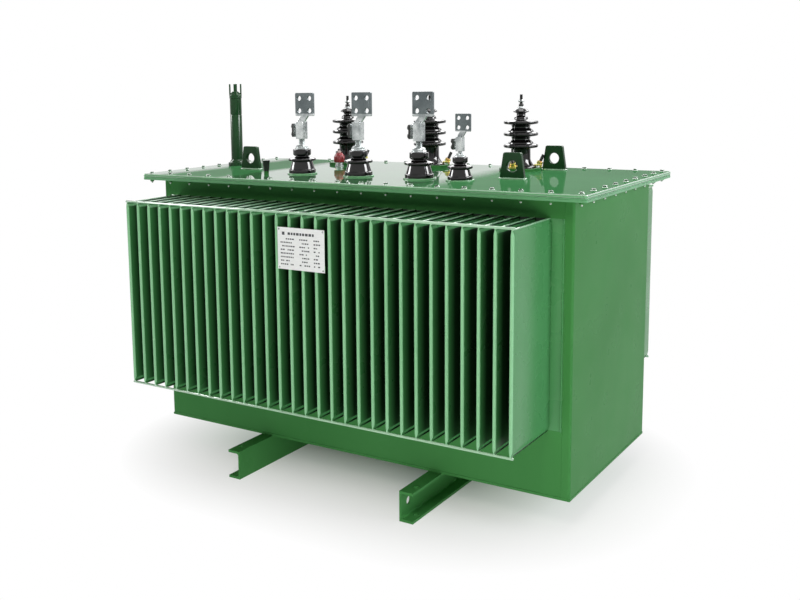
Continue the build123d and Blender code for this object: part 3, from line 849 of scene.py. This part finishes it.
def cover_bolts():
    """The heads above the cover, whose darker green is painted shade, and below the rim the nuts, which were
    painted with the tank.
    """
    washers, heads, nuts, tails = bmesh.new(), bmesh.new(), bmesh.new(), bmesh.new()
    head = hexagon(BOLT_FLATS, BOLT_HEAD)
    nut = hexagon(BOLT_FLATS, BOLT_HEAD * 1.2)
    disc = washer_shape(WASHER, WASHER_THICK)
    tail = threaded_end(BOLT_SHANK, 0.005)
    upside_down = Matrix.Rotation(math.pi, 4, "X")
    for x, y in bolt_places():
        spin = Matrix.Rotation(random.uniform(0, math.pi / 3), 4, "Z")
        put(washers, disc, at(x, y, COVER_TOP))
        put(heads, head, at(x, y, COVER_TOP + WASHER_THICK) @ spin)
        under = at(x, y, WALL_TOP) @ upside_down
        put(nuts, disc, under)
        put(nuts, nut, under @ at(0, 0, WASHER_THICK) @ spin)
        put(tails, tail, under @ at(0, 0, WASHER_THICK + BOLT_HEAD * 1.2))
    return [
        add_piece(washers, "cover_bolt_washers", "washer_zinc", "zinc_steel"),
        add_piece(heads, "cover_bolt_heads", "bolt_paint_and_shade", "zinc_steel"),
        add_piece(nuts, "cover_bolt_nuts", "tank_paint", "zinc_steel"),
        add_piece(tails, "cover_bolt_tails", "washer_zinc", "zinc_steel"),
    ]


bolts = cover_bolts()
print("cover bolts:", len(bolt_places()), "faces:", faces_of(bolts))

# %% [markdown]
# ## High-voltage bushings
# The porcelain is one glazed casting: a foot for the clamp, a shaft with three sheds that throw the rain
# off, and a spool-shaped head. All of it is round, so its outline is spun, and the corners of the outline
# are rounded first, because glaze never leaves a sharp edge.

# %% High-voltage porcelain
SHED_RADIUS = 0.061
SHAFT_RADIUS = 0.033
CROWN_RADIUS = 0.044
HEAD_WAIST = 0.0150
HEAD_RADIUS = 0.0280
SHED_LEVELS = (0.086, 0.128, 0.170)


def hv_outline():
    """The outline from the foot up, with the corners that are rounded and by how much."""
    points = [(0, 0), (0.0555, 0), (0.0555, 0.0158), (0.0485, 0.0158), (SHAFT_RADIUS + 0.002, 0.037)]
    rounding = [(2, 0.003), (3, 0.003), (4, 0.006)]
    for level in SHED_LEVELS:
        first = len(points)
        points += [
            (SHAFT_RADIUS + 0.0015, level - 0.0075),
            (SHED_RADIUS - 0.006, level - 0.0040),
            (SHED_RADIUS, level - 0.0025),
            (SHED_RADIUS, level + 0.0070),
        ]
        rounding += [(first, 0.003), (first + 2, 0.0025), (first + 3, 0.0028)]
        if level < SHED_LEVELS[-1]:
            points += [
                (CROWN_RADIUS + 0.001, level + 0.0100),
                (CROWN_RADIUS, level + 0.0150),
                (CROWN_RADIUS - 0.005, level + 0.0195),
                (SHAFT_RADIUS - 0.002, level + 0.0250),
            ]
            rounding += [(first + 4, 0.001), (first + 5, 0.001), (first + 6, 0.001), (first + 7, 0.003)]
    top = SHED_LEVELS[-1]
    first = len(points)
    points += [
        (0.0265, top + 0.0110), (0.0245, top + 0.0135), (0.0240, top + 0.0200), (HEAD_WAIST, top + 0.0270),
        (HEAD_WAIST + 0.001, top + 0.0345), (HEAD_RADIUS, top + 0.0390), (HEAD_RADIUS, top + 0.0415),
        (0.0180, top + 0.0505), (0, top + 0.0515),
    ]
    rounding += [
        (first, 0.001), (first + 1, 0.001), (first + 2, 0.003), (first + 3, 0.003), (first + 4, 0.002),
        (first + 5, 0.001), (first + 6, 0.0011), (first + 7, 0.002),
    ]
    return points, rounding


def over(node, height=0.0):
    """The place above the middle of a node, measured from the top of the cover."""
    low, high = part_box(node)
    return at((low.x + high.x) / 2, (low.y + high.y) / 2, COVER_TOP + height)


def porcelain(name, node, outline, rounding):
    body = turned(outline, 48, rounding)
    return assembled(name, [(body, over(node))], "porcelain", "porcelain", (node,), smooth=40)


PHASES = ("left", "middle", "right")
hv_pieces = [porcelain(f"hv_glazed_body_{phase}", f"hv_porcelain_{phase}", *hv_outline()) for phase in PHASES]
print("high-voltage porcelains:", faces_of(hv_pieces), "faces")

# %% [markdown]
# The foot is held by a flat ring on the cover and three bent claws. Each claw stands on the ring, bears
# on the ledge of the foot and is drawn down by a stud and a nut. The claws and nuts are zinc-plated with
# a yellow passivation, which shines from gold to faint red and green.

# %% High-voltage clamps and terminals
CLAMP_RING_OUT = 0.075
CLAMP_RING_IN = 0.0565
CLAMP_RING_THICK = 0.010
CLAW_ANGLES = (30, 150, 270)
CLAW_LEDGE = 0.016
CLAW_THICK = 0.006
CLAW_WIDTH = 0.026
CLAW_STUD_AT = 0.0656
CLAW_STUD_LEAN = 24
RING_SIDES = 48


def clamp_ring():
    ease = 0.0012
    outline = [
        (CLAMP_RING_IN, 0), (CLAMP_RING_OUT, 0), (CLAMP_RING_OUT, CLAMP_RING_THICK - ease),
        (CLAMP_RING_OUT - ease, CLAMP_RING_THICK), (CLAMP_RING_IN + ease, CLAMP_RING_THICK),
        (CLAMP_RING_IN, CLAMP_RING_THICK - ease), (CLAMP_RING_IN, 0),
    ]
    return turned(outline, steps=RING_SIDES)


def claw_shape():
    """A bent strap: its tip bears on the ledge, its back comes down to the ring, towards +X."""
    shape = bmesh.new()
    tip, back = 0.049, 0.0745
    top = CLAW_LEDGE + CLAW_THICK
    strap_centre = ((tip + back) / 2, 0, top - CLAW_THICK / 2)
    put(shape, block((back - tip, CLAW_WIDTH, CLAW_THICK), strap_centre, 0.0016, 3))
    leg_height = CLAW_LEDGE - CLAMP_RING_THICK + 0.001
    leg_centre = (back - CLAW_THICK / 2, 0, CLAMP_RING_THICK + leg_height / 2)
    put(shape, block((CLAW_THICK, CLAW_WIDTH, leg_height), leg_centre, 0.0012))
    return shape


def hv_hardware(node, phase):
    """Ring, claws, studs and nuts of one bushing, as three pieces with their own finishes."""
    middle = over(node)
    claws, studs = bmesh.new(), bmesh.new()
    claw = claw_shape()
    nut = hexagon(0.019, 0.010)
    disc = washer_shape(0.012, 0.002)
    stud = threaded_end(0.006, 0.026)
    lean = Matrix.Rotation(math.radians(CLAW_STUD_LEAN), 4, "Y")
    for angle in CLAW_ANGLES:
        place = middle @ Matrix.Rotation(math.radians(angle), 4, "Z")
        put(claws, claw, place)
        seat = place @ at(CLAW_STUD_AT, 0, CLAW_LEDGE + CLAW_THICK - 0.001) @ lean
        put(claws, disc, seat)
        put(claws, nut, seat @ at(0, 0, 0.002) @ Matrix.Rotation(random.uniform(0, 1), 4, "Z"))
        put(studs, stud, seat @ at(0, 0, 0.012))
    return [
        assembled(f"hv_ring_{phase}", [(clamp_ring(), middle)], "tank_paint", "tank_paint", (node,)),
        keep_flats(add_piece(claws, f"hv_claws_{phase}", "yellow_zinc", "zinc_steel")),
        add_piece(studs, f"hv_claw_studs_{phase}", "dark_steel", "zinc_steel"),
    ]


def hv_terminal(node, phase):
    """A bright cap and upper nut, and a dark lower nut and threaded stud, on the head of the porcelain; the
    lower nut's dark steel is painted shade.
    """
    low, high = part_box(node)
    foot = over(node, low.z - COVER_TOP)
    cap = turned([(0, 0), (0.0125, 0), (0.0125, 0.0030), (0.0090, 0.0065), (0, 0.0065)], 24)
    lower_nut, upper_nut = hexagon(0.0165, 0.0095), hexagon(0.0185, 0.0085)
    stud = threaded_end(0.0055, high.z - low.z - 0.0160, steps=16)
    bright = [(cap, foot), (upper_nut, foot @ at(0, 0, 0.0215) @ Matrix.Rotation(0.8, 4, "Z"))]
    # Dark steel: on the lower nut this is painted shade.
    dull = [
        (lower_nut, foot @ at(0, 0, 0.0065) @ Matrix.Rotation(0.3, 4, "Z")), (stud, foot @ at(0, 0, 0.0160))
    ]
    return [
        assembled(f"hv_cap_{phase}", bright, "zinc_steel", "zinc_steel", (node,)),
        assembled(f"hv_stud_{phase}", dull, "dark_steel", "zinc_steel"),
    ]


hardware = []
for phase in PHASES:
    hardware += hv_hardware(f"hv_clamp_{phase}", phase)
    hardware += hv_terminal(f"hv_terminal_{phase}", phase)
print("high-voltage clamps and studs:", faces_of(hardware), "faces")

# %% [markdown]
# ## Low-voltage bushings
# These carry a heavy current at a low voltage, so the porcelain is short and the stud thick. A broad
# tapered base, one dished shed and a dark collar are spun. A tinned nut draws the stud up, and a clamp
# with a drilled palm takes the busbar. The neutral is the same thing, smaller.

# %% Low-voltage porcelain, stud and nut
LV_PHASES = ("left", "middle", "right", "neutral")
LV_PAD_LIP = 0.006
LV_PAD_HEIGHT = 0.004
# Radius of the stud, top of the collar above the cover, and height of the nut.
LINE_STUD = (0.011, 0.090, 0.016)
NEUTRAL_STUD = (0.007, 0.078, 0.012)


def lv_outline(base, foot, waist, waist_top, rim, rim_top, seat, seat_top, collar, collar_top):
    """Foot, tapered base, dished shed, seat ring and collar, from the cover up."""
    points = [
        (0, 0), (base, 0), (base, foot), (base - 0.0035, foot + 0.0015), (waist, waist_top - 0.002),
        (waist, waist_top), (rim - 0.005, rim_top - 0.0095), (rim, rim_top - 0.0075), (rim, rim_top),
        (seat, seat_top - 0.0015), (seat, seat_top), (collar - 0.005, seat_top + 0.0015),
        (collar, seat_top + 0.0065), (collar, collar_top), (0, collar_top),
    ]
    rounding = [
        (1, 0.0015), (2, 0.0016), (3, 0.001), (4, 0.0008), (5, 0.0008), (6, 0.001), (7, 0.0022), (8, 0.0024),
        (9, 0.0004), (11, 0.002), (12, 0.002), (13, 0.003),
    ]
    return points, rounding


line_outline = lv_outline(0.0485, 0.0165, 0.0370, 0.0460, 0.0495, 0.0560, 0.0230, 0.0640, 0.0325, 0.0898)
neutral_outline = lv_outline(0.0410, 0.0140, 0.0310, 0.0385, 0.0410, 0.0480, 0.0180, 0.0550, 0.0250, 0.0778)


def lv_bushing(phase):
    outline = neutral_outline if phase == "neutral" else line_outline
    return porcelain(f"lv_glazed_body_{phase}", f"lv_porcelain_{phase}", *outline)


def lv_stud(phase):
    """A domed nut on the collar and the threaded stud that runs up into the clamp."""
    node = f"lv_stud_{phase}"
    low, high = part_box(node)
    nut_radius = (high.x - low.x) / 2
    stud, collar_top, nut_height = NEUTRAL_STUD if phase == "neutral" else LINE_STUD
    outline = [
        (0, 0), (nut_radius, 0), (nut_radius, nut_height * 0.25), (nut_radius * 0.9, nut_height * 0.34),
        (nut_radius * 0.9, nut_height * 0.6), (stud + 0.004, nut_height), (0, nut_height),
    ]
    nut = turned(outline, 36, ((2, 0.001), (5, 0.002)))
    foot = collar_top + nut_height
    thread = threaded_end(stud, high.z - COVER_TOP - collar_top - nut_height, pitch=0.0025, steps=24)
    parts = [(nut, over(node, collar_top)), (thread, over(node, foot))]
    return assembled(f"lv_nut_and_stud_{phase}", parts, "tinned_casting", "tinned_metal", (node,))


def lv_pad(phase):
    """The low painted ring that the porcelain stands in; its pale green is a painted highlight."""
    node = f"lv_porcelain_{phase}"
    low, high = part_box(node)
    inner = (high.x - low.x) / 2
    outer = inner + LV_PAD_LIP
    outline = [(inner, 0), (outer, 0), (outer, LV_PAD_HEIGHT), (inner, LV_PAD_HEIGHT), (inner, 0)]
    ring = turned(outline, 48, ((2, 0.0012),))
    return assembled(f"lv_pad_{phase}", [(ring, over(node))], "nose_highlight_paint", "tank_paint")


lv_pieces = [maker(phase) for phase in LV_PHASES for maker in (lv_bushing, lv_stud, lv_pad)]
print("low-voltage bushings:", faces_of(lv_pieces), "faces")

# %% [markdown]
# The connectors keep the frame's shape, with eased edges. Each has three finishes: a bright cast clamp, the
# dark heads of its bolts at the left, and a dull sheet palm above.

# %% Low-voltage connectors
BOLT_HEAD_REACH = 0.013
PALM_SHARE = 0.55


def lv_connector(phase):
    node = f"lv_connector_{phase}"
    low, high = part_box(node)
    palm_from = low.z + (high.z - low.z) * PALM_SHARE
    mesh = eased(node, 0.0012)
    cut = mesh.verts[:] + mesh.edges[:] + mesh.faces[:]
    bmesh.ops.bisect_plane(mesh, geom=cut, plane_co=(0, 0, palm_from), plane_no=(0, 0, 1))
    piece = add_piece(mesh, f"lv_palm_{phase}", "tinned_casting", "tinned_metal", (node,))
    piece.data.materials.append(materials["tinned_metal"])
    piece.data.materials.append(materials["dark_steel"])
    for face in piece.data.polygons:
        if face.center.x < low.x + BOLT_HEAD_REACH:
            face.material_index = 2
        elif face.center.z > palm_from:
            face.material_index = 1
    return keep_flats(piece)


connectors = [lv_connector(phase) for phase in LV_PHASES]
print("connectors:", faces_of(connectors), "faces")

# %% [markdown]
# ## Small fittings on the cover
# The filler pipe has a screw cap with four upright wings; both are dressed in a darker green that is
# painted shade. The relief valve hides under a knurled red cap. The thermometer pocket is closed by a
# black plug.

# %% Filler pipe, relief valve and thermometer pocket
PIPE_RADIUS = 0.0235
PIPE_HEIGHT = 0.268


def filler_pipe():
    outline = [
        (0, 0), (0.036, 0), (0.036, 0.012), (0.029, 0.014), (0.0275, 0.019), (PIPE_RADIUS, 0.024),
        (PIPE_RADIUS, 0.200), (PIPE_RADIUS - 0.0012, 0.203), (PIPE_RADIUS, 0.206),
        (PIPE_RADIUS, PIPE_HEIGHT - 0.001), (0.020, PIPE_HEIGHT), (0, PIPE_HEIGHT),
    ]
    parts = [(turned(outline, 40, ((2, 0.001), (4, 0.002))), over("filler_pipe"))]
    return assembled("filler_neck", parts, "shaded_fitting_paint", "tank_paint", ("filler_pipe",))


def filler_cap():
    """A low screw cap with four wings that stand up from its rim."""
    outline = [
        (0, 0), (0.0248, 0), (0.0248, 0.014), (0.0225, 0.0165), (0.014, 0.025), (0.012, 0.0275), (0, 0.0275),
    ]
    top = over("filler_pipe", PIPE_HEIGHT)
    wing = block((0.006, 0.011, 0.050), (0.0218, 0, 0.0325), 0.0018)
    parts = [(turned(outline, 40, ((2, 0.001), (3, 0.002), (4, 0.003))), top)]
    parts += [(wing, top @ Matrix.Rotation(math.radians(35 + 90 * index), 4, "Z")) for index in range(4)]
    return assembled("filler_screw_cap", parts, "shaded_fitting_paint", "tank_paint", ("filler_cap",))


def knurled(radius, height, ribs, depth, ease):
    """A drum whose side is ribbed: every other point of a circle is pulled in, and the ring is extruded."""
    shape = bmesh.new()
    ring = bmesh.ops.create_circle(shape, segments=2 * ribs, radius=radius, cap_ends=True)["verts"]
    for index, vert in enumerate(ring):
        if index % 2:
            vert.co *= (radius - depth) / radius
    top = bmesh.ops.extrude_face_region(shape, geom=shape.faces[:])["geom"]
    lifted = [item for item in top if isinstance(item, bmesh.types.BMVert)]
    bmesh.ops.translate(shape, verts=lifted, vec=(0, 0, height))
    rims = [edge for edge in shape.edges if abs(edge.verts[0].co.z - edge.verts[1].co.z) < MERGE]
    bevel(shape, rims, ease, 2)
    return shape


def relief_valve():
    """A zinc foot, a knurled cap with a tapered shoulder, and the button on top."""
    body, cap = "relief_valve_body", "relief_valve_cap"
    cap_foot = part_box(cap)[0].z - COVER_TOP
    stem = turned([(0, 0), (0.0168, 0), (0.0168, 0.004), (0.0145, 0.005), (0.0145, 0.0158), (0, 0.0158)])
    outline = [(0, 0), (0.0198, 0), (0.0185, 0.004), (0.0140, 0.0105), (0.0125, 0.0125), (0, 0.0125)]
    shoulder = turned(outline, 40, ((2, 0.001), (3, 0.002), (4, 0.001)))
    drum = knurled(0.0213, 0.0235, 28, 0.0012, 0.0016)
    button = turned([(0, 0), (0.0073, 0), (0.0073, 0.006), (0.0055, 0.0078), (0, 0.0078)], 24)
    red = [(drum, over(cap, cap_foot)), (shoulder, over(cap, cap_foot + 0.0232))]
    return [
        assembled("relief_valve_foot", [(stem, over(cap))], "zinc_steel", "zinc_steel", (body,)),
        assembled("relief_valve_knurled_cap", red, "red_cap", "red_cap", (cap,), smooth=30),
        assembled("relief_valve_button", [(button, over(cap, cap_foot + 0.036))], "pink_button", "red_cap"),
    ]


def thermometer_pocket():
    """A short painted stub with a flared black plug."""
    node = "thermometer_pocket"
    stub = turned([(0, 0), (0.0088, 0), (0.0088, 0.0098), (0, 0.0098)], 24)
    outline = [(0, 0.0098), (0.0098, 0.0098), (0.0135, 0.046), (0.0140, 0.047), (0.0138, 0.0498), (0, 0.0498)]
    plug = turned(outline, 32, ((3, 0.001), (4, 0.0008)))
    return [
        assembled("thermometer_stub", [(stub, over(node))], "tank_paint", "tank_paint"),
        assembled("thermometer_plug", [(plug, over(node))], "black_plastic", "black_plastic", (node,)),
    ]


fittings = [filler_pipe(), filler_cap(), *relief_valve(), *thermometer_pocket()]
print("fittings:", faces_of(fittings), "faces")

# %% [markdown]
# Each lifting lug stands in a fillet weld that runs along both of its faces and round its two ends.

# %% Foot welds of the lugs
FOOT_BEAD = 0.0042
FOOT_OUT = 0.001
FOOT_PAST = 0.002


def foot_welds():
    mesh = bmesh.new()
    z = COVER_TOP + FOOT_OUT
    for lug in LUGS:
        low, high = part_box(lug)
        for y in (low.y - FOOT_OUT, high.y + FOOT_OUT):
            bead(mesh, (low.x - FOOT_PAST, y, z), (high.x + FOOT_PAST, y, z), FOOT_BEAD)
        for x in (low.x - FOOT_OUT, high.x + FOOT_OUT):
            bead(mesh, (x, low.y - FOOT_PAST, z), (x, high.y + FOOT_PAST, z), FOOT_BEAD)
    # The beads are dressed in the pale green that is a painted highlight.
    return add_piece(mesh, "lug_foot_welds", "arris_highlight_paint", "tank_paint", smooth=60)


lug_welds = foot_welds()
print("foot welds:", faces_of([lug_welds]), "faces")

# %% [markdown]
# ## Nameplate
# A thin aluminium plate on two straps. Its print is not readable and stays generic: a heading bar, rows
# of short dashes and a ruled frame, each a hair's breadth proud of the plate. Four rivets hold it.

# %% Generic print and rivets
plate_low, plate_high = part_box("nameplate")
INK_PROUD = 0.0002
INK_MARGIN = 0.008
TEXT_ROWS = 8
ROW_PITCH = 0.0115
DASH_CHANCE = 0.72
RIVET_INSET = 0.006


def ink_bar(mesh, x, z, width, height):
    centre = (x + width / 2, plate_low.y - INK_PROUD / 2, z + height / 2)
    bar = bmesh.new()
    bmesh.ops.create_cube(bar, size=1.0, matrix=at(*centre) @ Matrix.Diagonal((width, INK_PROUD, height, 1)))
    put(mesh, bar)
    bar.free()


def nameplate_print():
    mesh = bmesh.new()
    left = plate_low.x + INK_MARGIN
    right = plate_high.x - INK_MARGIN
    top = plate_high.z - INK_MARGIN
    ink_bar(mesh, left + 0.010, top - 0.016, 0.010, 0.010)
    place = left + 0.032
    while place < right - 0.030:
        width = random.uniform(0.006, 0.011)
        ink_bar(mesh, place, top - 0.015, width, 0.008)
        place += width + 0.003
    for row in range(TEXT_ROWS):
        z = top - 0.030 - row * ROW_PITCH
        for start, end in ((left, left + 0.060), (left + 0.072, left + 0.118), (left + 0.126, right)):
            place = start + 0.004
            while place < end - 0.008:
                width = random.uniform(0.003, 0.008)
                if random.random() < DASH_CHANCE:
                    ink_bar(mesh, place, z, width, 0.0042)
                place += width + 0.0022
    return add_piece(mesh, "nameplate_print", "plate_ink", "plate_metal")


def nameplate_rivets():
    mesh = bmesh.new()
    head = turned([(0, 0), (0.0032, 0), (0.0030, 0.0008), (0.0018, 0.0017), (0, 0.0020)], 16)
    for x in (plate_low.x + RIVET_INSET, plate_high.x - RIVET_INSET):
        for z in (plate_low.z + RIVET_INSET, plate_high.z - RIVET_INSET):
            put(mesh, head, along((x, plate_low.y, z), (x, plate_low.y - 1, z)))
    return add_piece(mesh, "nameplate_rivets", "zinc_steel", "plate_metal")


marks = [nameplate_print(), nameplate_rivets()]
print("nameplate marks:", faces_of(marks), "faces")

# %% [markdown]
# ## Floor, world and lamps
# A pale floor under a white world. Only the camera, glossy and transmitted rays see the full white; the
# light that falls on the object comes from a dimmer world and soft lamps, so that a colour renders about
# as it is written.

# %% Floor and world
FLOOR_SIZE = 60.0
FLOOR_DROP = 0.0006
SHADOW_INSET_X = 0.50
SHADOW_INSET_Y = 0.25
SHADOW_REACH = 0.74
SHADOW_LIFT = 0.05
FLOOR_BOUNCE = 1.15
WORLD_FILL = 0.04


def make_floor():
    mesh = bmesh.new()
    bmesh.ops.create_grid(mesh, x_segments=1, y_segments=1, size=FLOOR_SIZE / 2)
    bmesh.ops.translate(mesh, verts=mesh.verts, vec=(0, 0, -FLOOR_DROP))
    data = bpy.data.meshes.new("studio_floor")
    mesh.to_mesh(data)
    mesh.free()
    floor = bpy.data.objects.new("studio_floor", data)
    scene.collection.objects.link(floor)
    return floor


def floor_material():
    """Matt white that keeps the shadow near the part and runs out into an evenly lit studio floor."""
    made = Finish("studio_floor", (0.86, 0.86, 0.86, 1.0), 0.9, Specular_IOR_Level=0.0)
    footprint = (tank_high.x - SHADOW_INSET_X, tank_high.y - SHADOW_INSET_Y, 0.0)
    distance = made.place
    # How far a spot lies outside the footprint.
    for operation in ("ABSOLUTE", "SUBTRACT", "MAXIMUM", "LENGTH"):
        step = made.node("ShaderNodeVectorMath", operation=operation)
        made.link(distance, step.inputs[0])
        if operation == "SUBTRACT":
            step.inputs[1].default_value = footprint
        distance = step.outputs["Value" if operation == "LENGTH" else "Vector"]
    far = made.ramp(distance, 0.0, SHADOW_REACH, SHADOW_LIFT, 1.0)
    path = made.node("ShaderNodeLightPath")
    glow = made.node("ShaderNodeEmission")
    glow.inputs["Color"].default_value = (1.0, 1.0, 1.0, 1.0)
    made.link(made.ramp(path.outputs["Is Diffuse Ray"], 0.0, 1.0, 1.0, FLOOR_BOUNCE), glow.inputs["Strength"])
    blend = made.node("ShaderNodeMixShader")
    made.link(far, blend.inputs["Fac"])
    made.link(made.shader.outputs[0], blend.inputs[1])
    made.link(glow.outputs[0], blend.inputs[2])
    made.link(blend.outputs[0], made.tree.nodes["Material Output"].inputs["Surface"])
    return made.material


floor = make_floor()
floor.data.materials.append(floor_material())

world = bpy.data.worlds.new("studio_world")
scene.world = world
world.use_nodes = True
sky = world.node_tree
ground_light = sky.nodes["Background"]
ground_light.inputs["Color"].default_value = (1.0, 1.0, 1.0, 1.0)
paths = sky.nodes.new("ShaderNodeLightPath").outputs
seen = paths["Is Camera Ray"]
for ray in ("Is Glossy Ray", "Is Transmission Ray"):
    either = sky.nodes.new("ShaderNodeMath")
    either.operation = "MAXIMUM"
    sky.links.new(seen, either.inputs[0])
    sky.links.new(paths[ray], either.inputs[1])
    seen = either.outputs[0]
level = sky.nodes.new("ShaderNodeMapRange")
level.inputs["To Min"].default_value = WORLD_FILL
level.inputs["To Max"].default_value = 1.0
sky.links.new(seen, level.inputs["Value"])
sky.links.new(level.outputs["Result"], ground_light.inputs["Strength"])
print("floor and world ready")

# %% [markdown]
# Three soft boxes light the part from above, from the right and from the front, and a small one reaches
# under the fins to the skids. The front two don't mirror in the gloss.

# %% Lamps
WARM = (1.0, 0.98, 0.86)
COOL = (0.95, 1.0, 1.08)


def soft_lamp(name, place, aim, width, height, watts, colour=(1.0, 1.0, 1.0)):
    """A rectangular soft box at a place, turned to look at its aim."""
    lamp_data = bpy.data.lights.new(name, "AREA")
    lamp_data.shape = "RECTANGLE"
    lamp_data.size = width
    lamp_data.size_y = height
    lamp_data.energy = watts
    lamp_data.color = colour
    lamp = bpy.data.objects.new(name, lamp_data)
    towards = Vector(aim) - Vector(place)
    turn = towards.to_track_quat("-Z", "Y").to_matrix().to_4x4()
    lamp.matrix_world = Matrix.Translation(place) @ turn
    scene.collection.objects.link(lamp)
    return lamp


soft_lamp("overhead_box", (0.4, 0.3, 4.4), (0.0, 0.0, 0.4), 2.6, 2.0, 72)
soft_lamp("right_box", (4.3, 0.5, 2.3), (0.2, 0.0, 0.6), 1.6, 1.4, 60, COOL)
front_box = soft_lamp("front_box", (0.9, -3.3, 3.9), (0.0, -0.3, 0.6), 1.8, 1.4, 66, WARM)
skid_box = soft_lamp("skid_box", (1.5, -2.4, 0.55), (0.3, -0.5, 0.1), 0.8, 0.5, 12, WARM)
for lamp in (front_box, skid_box):
    lamp.visible_glossy = False
print("lamps:", len(bpy.data.lights))

# %% [markdown]
# Four more boxes only draw reflections, and light nothing by themselves: two tall ones at the sides for
# the tapered bushings, and two behind the part for sheds, arrises and rods.

# %% Boxes for reflections
REFLECTIONS = {
    "right_wall_light": ((4.2, 1.3, 3.4), 2.6, 2.6, 420),
    "left_wall_light": ((-4.3, -1.2, 2.9), 1.6, 2.4, 260),
    "back_left_light": ((-2.6, 4.4, 3.9), 4.0, 2.6, 170),
    "back_right_light": ((1.5, 4.4, 4.0), 2.6, 1.6, 110),
}
for name, (place, width, height, watts) in REFLECTIONS.items():
    strip = soft_lamp(name, place, (0.0, 0.0, 1.0), width, height, watts)
    strip.visible_diffuse = False
    strip.visible_camera = False
scene.view_settings.view_transform = "Standard"
print("reflections:", sorted(REFLECTIONS))

# %% [markdown]
